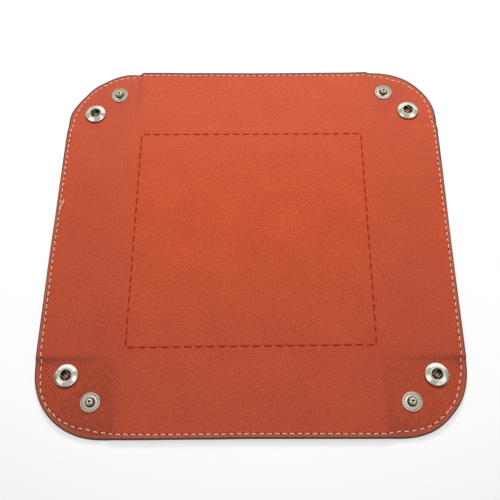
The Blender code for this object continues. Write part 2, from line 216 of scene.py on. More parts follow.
def boardUnder(x, y):  # 1 over a board, falling to 0 past its edges
    slope = pockets["slope"]
    inner = 1 - ease(pockets["baseHalf"], pockets["baseHalf"] + slope, max(abs(x), abs(y)))
    side, u, v = wallSide(x, y)
    across = 1 - ease(pockets["wallEnd"], pockets["wallEnd"] + slope, abs(u))
    along = ease(pockets["wallFrom"] - slope, pockets["wallFrom"], v)
    along *= 1 - ease(pockets["wallTo"], pockets["wallTo"] + slope, v)
    return max(inner, across * along)


relief = {
    "hemSeam": 2.3,  # hem to thread
    "hemSeamDepth": 0.14,
    "hemSeamWidth": 0.9,
    "squareSeam": 65.0,
    "squareSeamDepth": 0.16,
    "squareSeamWidth": 0.7,
    "creaseWidth": 2.2,
    "creaseRise": (1, 8),  # distances past the fold between which a crease reaches its full depth
    "foldDepth": 0.03,
    "topBack": 0.86,  # depth of the top skin's back
    "liningFace": 0.88,  # depth of the lining's face where the sheet is pinched
    "edgeRound": 1.2,
    "edgeDrop": 0.6,
    "paint": {"sides": 0.65, "front": 0.95, "back": 1.5},  # how far the edge paint comes in from the hem
}
sewnAt = relief["squareSeam"]


def creaseAt(x, y):  # 1 on the crease between a wall and its corner, 0 away from it
    side, u, v = wallSide(x, y)
    if v < foldAt:
        return 0.0
    return hill(relief["creaseWidth"], pastBoard(side, u)) * pastFold(*relief["creaseRise"], v)


def creaseDepth(x, y):
    side, u, v = wallSide(x, y)
    return atEnd("creaseDepth", side, u) * creaseAt(x, y)


def edgeDrop(x, y):
    left = max(hemAt - ringOf(x, y), 0.0)
    share = 1 - min(left / relief["edgeRound"], 1.0)
    return relief["edgeDrop"] * (1 - sqrt(max(1 - share * share, 0.0)))


def topDepth(x, y):
    ring = ringOf(x, y)
    square = max(abs(x), abs(y))
    inwards = relief["hemSeam"] + alongHem("seamDrift", hemRun(x, y))
    seam = relief["hemSeamDepth"] * hill(relief["hemSeamWidth"], hemAt - ring - inwards)
    sewn = relief["squareSeamDepth"] * hill(relief["squareSeamWidth"], square - sewnAt)
    fold = relief["foldDepth"] * hill(relief["creaseWidth"], square - foldAt)
    return seam + sewn + fold + creaseDepth(x, y) + edgeDrop(x, y)


def topUnder(x, y):  # the same everywhere
    return relief["topBack"]


def liningTop(x, y):
    overBoard = 2 * tray["glue"] + tray["board"] + tray["skin"]
    return between(relief["liningFace"], overBoard, boardUnder(x, y))


def liningUnder(x, y):
    return pinched + (tray["board"] + tray["glue"]) * boardUnder(x, y) - edgeDrop(x, y)


def place(x, y, depth):  # where a point of the flat sheet is, at a depth below its top face
    return Vector((*shifted(x, y), tray["top"] + liftAt(x, y) - depth))


def onTop(x, y):
    return place(x, y, topDepth(x, y))


def newMaterial(name, roughness, metallic=0.0):
    material = bpy.data.materials.new(name)
    material.use_nodes = True
    shader = material.node_tree.nodes["Principled BSDF"]
    shader.inputs["Roughness"].default_value = roughness
    shader.inputs["Metallic"].default_value = metallic
    return material, material.node_tree, shader


def addNode(tree, kind, **values):
    node = tree.nodes.new(kind)
    for name, value in values.items():
        if name in node.inputs:
            node.inputs[name].default_value = value
        else:
            setattr(node, name, value)
    return node


def mathNode(tree, operation, first, second):
    node = tree.nodes.new("ShaderNodeMath")
    node.operation = operation
    for socket, value in zip(node.inputs, (first, second)):
        if isinstance(value, (int, float)):
            socket.default_value = value
        else:
            tree.links.new(value, socket)
    return node.outputs[0]


def times(tree, first, second):
    return mathNode(tree, "MULTIPLY", first, second)


def plus(tree, first, second):
    return mathNode(tree, "ADD", first, second)


def mixColour(tree, factor, first, second, blendType="MIX"):
    node = tree.nodes.new("ShaderNodeMix")
    node.data_type = "RGBA"
    node.blend_type = blendType
    for socket, value in ((node.inputs[0], factor), (node.inputs[6], first), (node.inputs[7], second)):
        if isinstance(value, (int, float)):
            socket.default_value = value
        elif isinstance(value, tuple):
            socket.default_value = (*value, 1.0)
        else:
            tree.links.new(value, socket)
    return node.outputs[2]


def mapRange(tree, value, limits):  # limits: from, to, and the values there
    node = addNode(tree, "ShaderNodeMapRange", interpolation_type="SMOOTHSTEP")
    tree.links.new(value, node.inputs["Value"])
    for socket, limit in zip(node.inputs[1:5], limits):
        socket.default_value = limit
    return node.outputs[0]


def addNoise(tree, vector, scale, detail):
    noise = addNode(tree, "ShaderNodeTexNoise", Scale=scale, Detail=detail)
    tree.links.new(vector, noise.inputs["Vector"])
    return noise.outputs["Fac"]


def addBump(tree, shader, height, strength, distance):
    bump = addNode(tree, "ShaderNodeBump", Strength=strength, Distance=distance)
    tree.links.new(height, bump.inputs["Height"])
    tree.links.new(bump.outputs["Normal"], shader.inputs["Normal"])


def sheetPlace(tree, degrees=0.0):  # the sheet's UV map in millimetres, turned by an angle
    uv = tree.nodes.new("ShaderNodeUVMap")
    uv.uv_map = "sheet"
    mapping = tree.nodes.new("ShaderNodeMapping")
    mapping.inputs["Scale"].default_value = (sheetTile,) * 3
    mapping.inputs["Rotation"].default_value = (0, 0, radians(degrees))
    tree.links.new(uv.outputs["UV"], mapping.inputs["Vector"])
    return mapping.outputs["Vector"]


leatherLook = {
    "light": (0.76, 0.120, 0.045),
    "dark": (0.36, 0.047, 0.018),
    # painted shade: the darker colour mixed in at creases, corner squares and towards the hems
    "paintedShadeColour": (0.28, 0.051, 0.030),
    "dusty": (0.35, 0.126, 0.072),
    "dustyShare": 0.48,
    # painted sheen: the paler colour that the leather turns towards the back
    "sheenColour": (0.80, 0.30, 0.24),
    "sheenShare": 0.07,  # painted sheen: how far the leather turns paler towards the back
    "roughness": 0.6,
    "gloss": 0.2,
    "linePitch": 0.95,
    "lineWander": 4.0,
    "lineAngles": (48, -36),  # the first lines are clearer on the right, the second on the left
    "lineShares": (0.3, 0.7),  # share of the first lines on the left and on the right
    "hatchDepth": 0.44,  # how much the crossed lines lighten and darken the leather
    "grainBump": 0.9,
    "grainHeight": 0.00012,
    "pebbles": (1.15, 1.6),  # scale, and how much they lighten and darken the leather
    "blotches": (0.05, 0.3),
    "tone": 0.45,  # mean place between dark and light
    "faint": 0.35,  # scale of the patches where the crossed lines are fainter
    "faintLimits": (0.35, 0.62, 0.25, 1.5),
}
wavePeriod = 0.314  # millimetres between the lines of a wave texture of scale 1


def leatherMaterial(name, look):
    material, tree, shader = newMaterial(name, look["roughness"])
    shader.inputs["Specular IOR Level"].default_value = look["gloss"]
    flat = sheetPlace(tree)
    lines = []
    for angle in look["lineAngles"]:
        wave = addNode(tree, "ShaderNodeTexWave", Scale=wavePeriod / look["linePitch"], Detail=2.0)
        wave.inputs["Distortion"].default_value = look["lineWander"]
        wave.inputs["Detail Scale"].default_value = 0.7
        tree.links.new(sheetPlace(tree, angle), wave.inputs["Vector"])
        lines.append(wave.outputs["Fac"])
    axes = tree.nodes.new("ShaderNodeSeparateXYZ")
    tree.links.new(flat, axes.inputs[0])
    limits = (0.3 * sheetTile, 0.7 * sheetTile, *look["lineShares"])
    across = mapRange(tree, axes.outputs["X"], limits)
    crossed = times(tree, mathNode(tree, "SUBTRACT", *lines), across)
    crossed = plus(tree, crossed, mathNode(tree, "SUBTRACT", lines[1], 0.5))
    clear, paintedShade, band = (
        addNode(tree, "ShaderNodeAttribute", attribute_name=name).outputs["Fac"]
        for name in ("clear", "paintedShade", "band")
    )
    faint = addNoise(tree, flat, look["faint"], 2.0)
    shown = times(tree, clear, mapRange(tree, faint, look["faintLimits"]))
    crossed = times(tree, crossed, shown)
    pebbleScale, pebbleShare = look["pebbles"]
    blotchScale, blotchShare = look["blotches"]
    pebbles = addNoise(tree, flat, pebbleScale, 3.0)
    blotches = addNoise(tree, flat, blotchScale, 3.0)
    tone = times(tree, pebbles, pebbleShare)
    tone = plus(tree, tone, times(tree, blotches, blotchShare))
    tone = mathNode(tree, "SUBTRACT", tone, (pebbleShare + blotchShare) / 2 - look["tone"])
    colour = mixColour(tree, tone, look["dark"], look["light"])
    # painted shade: mixes towards a darker colour in creases, corner squares and towards the hems
    colour = mixColour(tree, paintedShade, colour, look["paintedShadeColour"])
    dusty = times(tree, band, look["dustyShare"])
    colour = mixColour(tree, dusty, colour, look["dusty"])
    # painted sheen: the leather turns paler towards the back
    sheenToBack = mapRange(tree, axes.outputs["Y"], (0.5 * sheetTile, sheetTile, 0.0, look["sheenShare"]))
    colour = mixColour(tree, sheenToBack, colour, look["sheenColour"])
    shade = plus(tree, times(tree, crossed, look["hatchDepth"]), 1.0)
    tree.links.new(mixColour(tree, 1.0, colour, shade, "MULTIPLY"), shader.inputs["Base Color"])
    height = plus(tree, crossed, pebbles)
    addBump(tree, shader, height, look["grainBump"], look["grainHeight"])
    return material


def plainGrain(name, light, dark, roughness, scale, bump, metallic=0.0):  # two colours mixed by a fine noise
    material, tree, shader = newMaterial(name, roughness, metallic)
    noise = addNoise(tree, tree.nodes.new("ShaderNodeTexCoord").outputs["Object"], scale, 4.0)
    tree.links.new(mixColour(tree, noise, dark, light), shader.inputs["Base Color"])
    addBump(tree, shader, noise, bump, 0.0001)
    return material


def threadMaterial(name, light, dark, gloss):  # two plies twisted round each stitch
    material, tree, shader = newMaterial(name, 0.75)
    shader.inputs["Specular IOR Level"].default_value = gloss
    uv = addNode(tree, "ShaderNodeUVMap", uv_map="stitch")
    wave = addNode(tree, "ShaderNodeTexWave", Scale=1.3, Distortion=0.6, bands_direction="DIAGONAL")
    tree.links.new(uv.outputs["UV"], wave.inputs["Vector"])
    tree.links.new(mixColour(tree, wave.outputs["Fac"], dark, light), shader.inputs["Base Color"])
    addBump(tree, shader, wave.outputs["Fac"], 0.5, 0.0001)
    return material


rustLeather = leatherMaterial("rustLeather", leatherLook)
# the lining's colours, with its own darker colour for painted shade
liningColours = {"light": (0.21, 0.058, 0.031), "dark": (0.14, 0.036, 0.020), "paintedShadeColour": (0.1, 0.03, 0.02)}
liningLook = {**leatherLook, **liningColours, "dustyShare": 0.0, "sheenShare": 0.0}
brownLining = leatherMaterial("brownLining", liningLook)
edgePaint = plainGrain("edgePaint", (0.17, 0.055, 0.036), (0.11, 0.036, 0.024), 0.5, 900, 0.15)
cutCore = plainGrain("cutCore", (0.30, 0.10, 0.06), (0.22, 0.07, 0.04), 0.85, 1500, 0.3)
greyBoard = plainGrain("greyBoard", (0.46, 0.44, 0.40), (0.34, 0.32, 0.29), 0.9, 700, 0.3)
# needle holes: shallow cups painted near black as the shade inside the real holes
needleHoleShade = plainGrain("needleHoleShade", (0.10, 0.010, 0.006), (0.05, 0.006, 0.004), 0.9, 2000, 0.1)
salmonThread = threadMaterial("salmonThread", (1.0, 0.66, 0.52), (0.92, 0.45, 0.34), 0.5)
redThread = threadMaterial("redThread", (0.50, 0.034, 0.008), (0.32, 0.022, 0.005), 0.15)
brightNickel = plainGrain("brightNickel", (0.97, 0.91, 0.77), (0.83, 0.77, 0.64), 0.11, 600, 0.15, 1.0)
# painted shade: near-black metal for the bores, rims, bowl, cuts and pit that lie in shade
paintedShadeNickel = plainGrain("paintedShadeNickel", (0.06, 0.05, 0.045), (0.02, 0.017, 0.015), 0.3, 1600, 0.5, 1.0)
springWire = plainGrain("springWire", (0.66, 0.64, 0.58), (0.5, 0.48, 0.43), 0.25, 2500, 0.2, 1.0)
boreFloor = plainGrain("boreFloor", (0.42, 0.17, 0.13), (0.28, 0.10, 0.08), 0.5, 1200, 0.2)
print("materials made")


def meshFrom(bm, name):
    mesh = bpy.data.meshes.new(name)
    bm.to_mesh(mesh)
    bm.free()
    return mesh


def sliced(bm, point, normal, **more):
    everything = bm.verts[:] + bm.edges[:] + bm.faces[:]
    return bmesh.ops.bisect_plane(bm, geom=everything, plane_co=point, plane_no=normal, **more)


def pulledOut(bm, **more):  # extrudes all faces where they are, and gives the new vertices
    grown = bmesh.ops.extrude_face_region(bm, geom=bm.faces[:], **more)
    return {v for v in grown["geom"] if isinstance(v, bmesh.types.BMVert)}


def faceOutwards(bm):
    bmesh.ops.recalc_face_normals(bm, faces=bm.faces)


def newObject(name, data):
    made = bpy.data.objects.new(name, data)
    bpy.context.scene.collection.objects.link(made)
    return made


def addPiece(name, bm, materials, body=None):
    bmesh.ops.scale(bm, vec=(toMetres,) * 3, verts=bm.verts)
    mesh = meshFrom(bm, name)
    piece = newObject(name, mesh)
    for material in materials:
        mesh.materials.append(material)
    if body:
        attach(piece, body)
    return piece


def smoothUpTo(bm, degrees):
    for face in bm.faces:
        face.smooth = True
    for edge in bm.edges:
        edge.smooth = edge.calc_face_angle(0.0) < radians(degrees)


# The flat sheet is one grid, with its lines closer together at the seams, the folds and the hem.
gridLines = [5.0 * i for i in range(13)]
gridLines += [62.5, 63.9, 64.3, 64.65, 65, 65.35, 65.7, 66.1, 67, 68]
gridLines += [69, 69.6, 70.3, 71, 71.7, 72.4, 73, 74, 75]
gridLines += [77.0 + 2 * i for i in range(14)]
gridLines += [104.2, 105.2, 106.2, 106.8, 107.2, 107.45, 107.7, 107.95, 108.2, 108.55]
gridLines += [108.8, 109.05, 109.3, 109.55, 109.75, 109.9, 109.98, 110]


def flatSheet():
    steps = len(gridLines) - 1
    bm = bmesh.new()
    bmesh.ops.create_grid(bm, x_segments=2 * steps, y_segments=2 * steps, size=1.0)
    for v in bm.verts:
        x, y = (copysign(gridLines[round(abs(c) * steps)], c) for c in v.co.xy)
        a, b = abs(x) - arcCentre, abs(y) - arcCentre
        if a > 0 and b > 0:  # pull the square's corner in to an arc
            pull = max(a, b) / hypot(a, b)
            x = copysign(arcCentre + a * pull, x)
            y = copysign(arcCentre + b * pull, y)
        v.co = (x, y, 0)
    for slope in (1, -1):  # cut along the diagonals
        sliced(bm, (0, 0, 0), (1, slope, 0), dist=1e-4)
    return bm


def cornerOf(region):  # the wall and the end that a corner's region is at, and that end's hand
    side, end = region.split("_")[:2]
    return side, end, next(hand for hand, name in ends[side].items() if name == end)


def regionOf(x, y):
    side, u, v = wallSide(x, y)
    across = abs(u) - foldAt
    along = v - foldAt
    corner = f"{side}_{ends[side][1 if u > 0 else -1]}"
    if abs(along) < tray["bendHalf"] and across < -tray["bendEnd"]:
        return f"{side}_fold"
    if along < 0:
        return "base"
    if abs(across) < tray["bendHalf"] and along > tray["bendEnd"]:
        return f"{corner}_crease"
    return f"{side}_wall" if across < 0 else f"{corner}_gusset"


sheet = flatSheet()
regions = {}
for face in sheet.faces:
    regions.setdefault(regionOf(*face.calc_center_median().xy), []).append(face.index)
print("sheet:", len(sheet.faces), "faces in", len(regions), "regions")


def paintedShadeAt(x, y):  # painted shade: darker creases and corner squares, and darker towards the left, right and front hems
    side, u, v = wallSide(x, y)
    start, full = relief["creaseRise"]
    tone = atEnd("cornerShade", side, u) * pastFold(0, full, v)
    tone *= ease(*lie["cornerShadeFrom"], pastBoard(side, u))
    tone += lie["sideShade"][1 if x > 0 else 0] * ease(*lie["sideShadeFrom"], abs(x))
    tone += lie["frontShade"] * ease(lie["frontShadeFrom"], -hemAt, y)
    crease = atEnd("creaseDepth", side, u) * hill(lie["creaseToneWidth"], pastBoard(side, u))
    crease *= pastFold(start, full, v)
    crease *= between(lie["creaseToneStart"], 1.0, ease(foldAt, hemAt, v))
    return min(lie["creaseTone"] * crease + tone, 1.0)


def bandAt(x, y):  # the dusty strip outside the hem's thread
    far, near = lie["dustyFrom"]
    return ease(hemAt - far, hemAt - near, ringOf(x, y))


def clearAt(x, y):  # how clearly the leather's crossed lines show, in colour and bump; at the front corners they are drawn clearer, partly as painted shade of grazing light
    side, u, v = wallSide(x, y)
    change = lie["clearChange"]
    base = between(*lie["baseClear"], ease(foldAt, 0, y))
    wall = between(base, base * lie["wallClear"], pastFold(-change, change, v))
    onCorner = ease(-change, change, pastBoard(side, u)) * pastFold(-change / 2, change, v)
    return between(wall, atEnd("cornerClear", side, u), onCorner)


marks = {"paintedShade": paintedShadeAt, "clear": clearAt, "band": bandAt}
layers = {  # depths of the two faces, material and slot
    "top_skin": (topDepth, topUnder, rustLeather, "leather"),
    "bottom_skin": (liningTop, liningUnder, brownLining, "lining"),
}


def paintWidth(y):
    paint = relief["paint"]
    return between(paint["sides"], paint["back" if y > 0 else "front"], ease(0, hemAt, abs(y)))


def skinMesh(region, layer):
    upper, lower = layers[layer][:2]
    bm = sheet.copy()
    uv = bm.loops.layers.uv.new("sheet")
    marked = [(bm.verts.layers.float.new(name), valueAt) for name, valueAt in marks.items()]
    kept = set(regions[region])
    bm.faces.ensure_lookup_table()
    bmesh.ops.delete(bm, geom=[f for f in bm.faces if f.index not in kept], context="FACES")
    under = pulledOut(bm, use_keep_orig=True)
    flat = {v: v.co.xy.copy() for v in bm.verts}
    for v, (x, y) in flat.items():
        v.co = place(x, y, lower(x, y) if v in under else upper(x, y))
        for mark, valueAt in marked:
            v[mark] = valueAt(x, y)
        for loop in v.link_loops:
            loop[uv].uv = (x / sheetTile + 0.5, y / sheetTile + 0.5)
    shown = under if layer == "bottom_skin" else set(bm.verts) - under
    for face in bm.faces:
        ring = min(ringOf(*flat[v]) for v in face.verts)
        isShown = all(v in shown for v in face.verts)
        onHem = ring > hemAt - paintWidth(face.calc_center_median().y)
        face.material_index = 1 if onHem else 0 if isShown else 2
    faceOutwards(bm)
    return bm


def aim(bm, verts, direction, point):  # turns +Z to a direction, and moves to a point
    turn = direction.to_track_quat("Z", "Y").to_matrix()
    bmesh.ops.rotate(bm, cent=(0, 0, 0), matrix=turn, verts=verts)
    bmesh.ops.translate(bm, vec=point, verts=verts)


def capsule(bm, start, end, radius):
    made = bmesh.ops.create_uvsphere(bm, u_segments=24, v_segments=13, radius=radius)["verts"]
    run = Vector(end) - Vector(start)
    bmesh.ops.translate(bm, vec=(0, 0, run.length), verts=[v for v in made if v.co.z > 0])
    aim(bm, made, run, start)


def cutBelow(bm, point, normal):  # keeps what lies behind the plane, and closes the cut
    cut = sliced(bm, point, normal, clear_outer=True)
    edges = [e for e in cut["geom_cut"] if isinstance(e, bmesh.types.BMEdge)]
    bmesh.ops.contextual_create(bm, geom=edges)


def joinInto(bm, other):
    mesh = meshFrom(other, "joined")
    bm.from_mesh(mesh)
    bpy.data.meshes.remove(mesh)


cornerFill = {"radius": 1.77, "foldGap": 0.6, "ridgeGap": 0.25, "lean": 13.0, "hemGap": 2.8}


def addFoldFill(bm):  # rounds the underside where two bending strips and a base corner meet
    for sx, sy in ((1, 1), (1, -1), (-1, 1), (-1, -1)):
        corner = (sx * foldAt, sy * foldAt, tray["top"])
        for dx, dy in ((1, 0), (0, 1)):
            fill = bmesh.new()
            far = (corner[0] - dx * sx * tray["bendEnd"], corner[1] - dy * sy * tray["bendEnd"], corner[2])
            capsule(fill, corner, far, cornerFill["radius"])
            cutBelow(fill, (0, 0, tray["top"] - cornerFill["foldGap"]), (0, 0, 1))
            joinInto(bm, fill)


def addDiagonalFill(bm, side, hand):  # rounds a gusset's edge, inside its neighbour at rest
    middle = hemAt * sqrt(0.5)
    x, y = turned(hand * middle, middle, sides[side])
    gap = cornerFill["hemGap"] + max(-alongHem("bulge", hemRun(x, y)), 0)
    reach = arcCentre + (tray["cornerRadius"] - gap) / sqrt(2)
    fill = bmesh.new()
    start = (hand * foldAt, foldAt, tray["top"])
    capsule(fill, start, (hand * reach, reach, tray["top"]), cornerFill["radius"])
    outwards = Vector((hand, -1, 0)).normalized()  # from the gusset over the diagonal
    cutBelow(fill, Vector(start) - outwards * 0.1, -outwards)
    lean = radians(cornerFill["lean"])
    under = Vector(start) - Vector((0, 0, cornerFill["ridgeGap"]))
    cutBelow(fill, under, outwards * sin(lean) + Vector((0, 0, cos(lean))))
    turn = Matrix.Rotation(radians(sides[side]), 3, "Z")
    bmesh.ops.rotate(fill, cent=(0, 0, 0), matrix=turn, verts=fill.verts)
    joinInto(bm, fill)


def addSkin(region, layer, replaced=None, body=None, bend=None):
    leather, slot = layers[layer][2:]
    bm = skinMesh(region, layer)
    if layer == "bottom_skin" and region == "base":
        addFoldFill(bm)
    if layer == "bottom_skin" and region.endswith("gusset"):
        side, _, hand = cornerOf(region)
        addDiagonalFill(bm, side, hand)
    smoothUpTo(bm, 50)
    piece = addPiece(f"{region}_{layer}_sheet", bm, [leather, edgePaint, cutCore], body)
    if replaced:
        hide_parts(replaced)
    if bend:
        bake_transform(piece)


def flatPoint(side, u, v):
    x, y = turned(u, v, sides[side])
    return tuple(c * toMetres for c in (x, y, tray["top"]))


near, far = foldAt - tray["bendHalf"], foldAt + tray["bendHalf"]  # the bends, from the middle
for layer in layers:
    addSkin("base", layer, f"base_{layer}", "base")
    for side, names in ends.items():
        wall = f"{side}_wall"
        addSkin(wall, layer, f"{wall}_{layer}", wall)
        bend = ("base", wall, flatPoint(side, 0, near), flatPoint(side, 0, far))
        addSkin(f"{side}_fold", layer, bend=bend)
        for hand, end in names.items():
            corner = f"{side}_{end}"
            gusset = f"{corner}_gusset"
            addSkin(gusset, layer, f"{gusset}_{layer}", gusset)
            bend = (wall, gusset, flatPoint(side, hand * near, far), flatPoint(side, hand * far, far))
            addSkin(f"{corner}_crease", layer, bend=bend)
sheet.free()
print("skins laid")


boardCut = {"cornerRadius": 2.0, "cornerSteps": 5, "strips": 10}


def boardPiece(name, body, low, high, degrees):
    bm = bmesh.new()
    bmesh.ops.create_grid(bm, x_segments=1, y_segments=1, size=1.0)
    for v in bm.verts:
        v.co.x, v.co.y = (high[i] if v.co[i] > 0 else low[i] for i in (0, 1))
    radius, steps = boardCut["cornerRadius"], boardCut["cornerSteps"]
    bmesh.ops.bevel(
        bm, geom=bm.verts[:], affect="VERTICES", offset=radius, segments=steps, profile=0.5, material=-1
    )
    for axis in (0, 1):  # cut across, so that the card can follow the sheet's lift
        normal = Vector((1 - axis, axis, 0))
        for cut in range(1, boardCut["strips"]):
            sliced(bm, normal * between(low[axis], high[axis], cut / boardCut["strips"]), normal)
    under = pulledOut(bm, use_keep_orig=True)
    for v in bm.verts:
        x, y = turned(v.co.x, v.co.y, degrees)
        depth = tray["skin"] + tray["glue"] + (tray["board"] if v in under else 0)
        v.co = (x, y, tray["top"] + liftAt(x, y) - depth)
    faceOutwards(bm)
    piece = addPiece(f"{name}_card", bm, [greyBoard], body)
    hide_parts(name)


half = pockets["baseHalf"]
boardPiece("base_board", "base", (-half, -half), (half, half), 0)
for side, degrees in sides.items():
    left, right = (min(pockets["wallEnd"], end - lie["stepHalf"]) for end in lie["boardEnd"][side])
    low = (-left, pockets["wallFrom"])
    high = (right, pockets["wallTo"])
    boardPiece(f"{side}_wall_board", f"{side}_wall", low, high, degrees)
print("boards laid")


stitch = {
    "perSide": 54,  # stitches from diagonal to diagonal
    "length": 2.8,
    "radius": 0.27,
    "dip": 0.45,  # how far the ends of a stitch go down
    "rise": 0.17,
    "flat": 0.85,  # height beside breadth
    "wander": (0.05, 5),  # across the seam, and in degrees
    "squareCount": 22,
    "squareLength": 4.7,
    "squareRadius": 0.42,
    "squareDip": 0.35,
    "squareRise": 0.16,
    "backThin": 0.72,  # how broad the square's back row is beside the other three
    "holeLength": 1.05,
    "holeWidth": 0.7,
    "holeDepth": 0.2,
    "holeInwards": 0.12,
    "holeRise": 0.03,
    "squareHoleRise": 0.01,
    "squareHole": 0.45,  # how large the holes of the square seam are beside the hem's
    "tightHole": 0.6,  # how large the holes are round the back corners, where the thread fills them
}


def stitchMesh(length, radius, dip):  # a spindle whose ends go down into the leather
    bm = bmesh.new()
    uv = bm.loops.layers.uv.new("stitch")
    bmesh.ops.create_uvsphere(bm, u_segments=8, v_segments=9, radius=1.0)
    for v in bm.verts:
        around = atan2(v.co.y, v.co.x) / (2 * pi)
        for loop in v.link_loops:
            loop[uv].uv = (v.co.z * length / 2, around)
    for v in bm.verts:
        along, y, z = v.co.z, v.co.x, v.co.y
        full = sqrt(1 + along * along)  # how much fuller than a ball the thread is here
        v.co = (along * length / 2, y * radius * full, z * radius * stitch["flat"] * full - dip * along**4)
    smoothUpTo(bm, 180)
    return meshFrom(bm, "stitch")


def holeMesh():
    bm = bmesh.new()
    bmesh.ops.create_circle(bm, cap_ends=True, segments=10, radius=1.0)
    bmesh.ops.scale(bm, vec=(stitch["holeLength"] / 2, stitch["holeWidth"] / 2, 1), verts=bm.verts)
    bmesh.ops.translate(bm, vec=(0, 0, -stitch["holeDepth"]), verts=list(pulledOut(bm)))
    faceOutwards(bm)
    return meshFrom(bm, "hole")


def standOn(x, y, dx, dy, rise):  # a frame on the leather's top at a flat point, its X along the seam
    step = 0.6
    ahead = onTop(x + dx * step, y + dy * step) - onTop(x - dx * step, y - dy * step)
    aside = Vector((-dy, dx, 0))
    up = ahead.cross(aside).normalized()
    if up.z < 0:
        up = -up
    ahead.normalize()
    aside = up.cross(ahead)
    turn = Matrix((ahead, aside, up)).transposed()
    return Matrix.Translation(onTop(x, y) + up * rise) @ turn.to_4x4()


def seamPoint(run, inwards):  # a flat point on the wandering line of the hem's thread, and its direction
    inwards += alongHem("seamDrift", run % hemLength)
    quarter = hemLength / 4
    order = round(run / quarter)
    rest = run - order * quarter
    side = hemOrder[order % 4]
    radius = tray["cornerRadius"] - inwards
    if abs(rest) <= arcCentre:
        u, v, du, dv = -rest, hemAt - inwards, -1, 0
    else:
        angle = copysign((abs(rest) - arcCentre) / radius, rest)
        u = -copysign(arcCentre, rest) - radius * sin(angle)
        v = arcCentre + radius * cos(angle)
        du, dv = -cos(angle), -sin(angle)
    x, y = turned(u, v, sides[side])
    dx, dy = turned(du, dv, sides[side])
    step = 0.5
    before, after = (alongHem("seamDrift", (run + way) % hemLength) for way in (-step, step))
    slope = (after - before) / (2 * step)
    size = hypot(1, slope)
    return x, y, (dx - slope * dy) / size, (dy + slope * dx) / size


def stamp(bm, mesh, matrix, material):
    first = len(bm.faces)
    before = len(bm.verts)
    bm.from_mesh(mesh)
    bm.verts.ensure_lookup_table()
    bm.faces.ensure_lookup_table()
    bmesh.ops.transform(bm, matrix=matrix, verts=bm.verts[before:])
    for face in bm.faces[first:]:
        face.material_index = material


hemDash = stitchMesh(stitch["length"], stitch["radius"], stitch["dip"])
squareDash = stitchMesh(stitch["squareLength"], stitch["squareRadius"], stitch["squareDip"])
holeCup = holeMesh()
seams = {}
inwards = relief["hemSeam"]
seamQuarter = 2 * arcCentre + pi / 2 * (tray["cornerRadius"] - inwards)
pitch = seamQuarter / stitch["perSide"]
wander, wanderTurn = stitch["wander"]
for order in range(4):
    for i in range(stitch["perSide"]):
        for kind, at in (("dash", i + 0.5), ("hole", i)):
            if kind == "hole" and i == 0:
                continue
            rest = at * pitch - seamQuarter / 2
            inset = inwards if kind == "dash" else inwards + stitch["holeInwards"]
            x, y, dx, dy = seamPoint(order * hemLength / 4 + rest, inset)
            region = regionOf(x, y)
            if region not in seams:
                seams[region] = bmesh.new()
            bm = seams[region]
            if kind == "dash":
                shift = Matrix.Translation((0, chance.uniform(-wander, wander), 0))
                turn = Matrix.Rotation(radians(chance.uniform(-wanderTurn, wanderTurn)), 4, "Z")
                stamp(bm, hemDash, standOn(x, y, dx, dy, stitch["rise"]) @ shift @ turn, 0)
            else:
                size = stitch["tightHole"] if abs(rest) > arcCentre and y > 0 else 1.0
                stamp(bm, holeCup, standOn(x, y, dx, dy, stitch["holeRise"]) @ Matrix.Scale(size, 4), 1)
for region, bm in seams.items():
    piece = addPiece(f"{region}_hem_stitches", bm, [salmonThread, needleHoleShade])
    if region.endswith("crease"):
        side, end, hand = cornerOf(region)
        gusset = f"{side}_{end}_gusset"
        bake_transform(piece)
    else:
        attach(piece, region)
print("hem sewn:", len(seams), "runs")

fray = {  # a loose thread end on the left hem
    "strands": [  # places along and across the wall, and heights
        [(22.0, 106.4, 0.1), (20.6, 106.0, 0.7), (19.2, 105.6, 1.1), (17.6, 106.4, 0.9), (16.4, 106.9, 0.5)],
        [(20.8, 106.2, 0.2), (19.0, 106.7, 0.9), (17.4, 107.3, 0.8), (15.6, 107.2, 0.9), (14.2, 106.6, 0.3)],
        [(17.8, 106.9, 0.3), (16.2, 107.8, 0.9), (14.6, 107.5, 0.7), (13.4, 107.8, 0.2)],
    ],
    "radius": 0.2,
    "endShare": 0.45,  # how thick the ends are beside the rest
}


def strandMesh(bm, points, radius):  # a thin tube along the points, closed at its ends
    rings = []
    for i, point in enumerate(points):
        ahead = (points[min(i + 1, len(points) - 1)] - points[max(i - 1, 0)]).normalized()
        thick = radius * (fray["endShare"] if i in (0, len(points) - 1) else 1.0)
        made = bmesh.ops.create_circle(bm, segments=8, radius=thick)["verts"]
        aim(bm, made, ahead, point)
        rings.append(made)
    for ring, after in zip(rings, rings[1:]):
        edges = [e for e in bm.edges if any(all(v in verts for v in e.verts) for verts in (ring, after))]
        bmesh.ops.bridge_loops(bm, edges=edges)
    for ring in (rings[0], rings[-1]):
        bmesh.ops.contextual_create(bm, geom=ring)


bm = bmesh.new()
bm.loops.layers.uv.new("stitch")
for strand in fray["strands"]:
    points = []
    for u, v, rise in strand:
        x, y = turned(u, v, sides["left"])
        points.append(onTop(x, y) + Vector((0, 0, rise)))
    strandMesh(bm, points, fray["radius"])
bmesh.ops.subdivide_edges(bm, edges=bm.edges[:], cuts=1, use_grid_fill=True, smooth=0.6)
faceOutwards(bm)
smoothUpTo(bm, 180)
addPiece("left_hem_loose_thread", bm, [salmonThread], "left_wall")

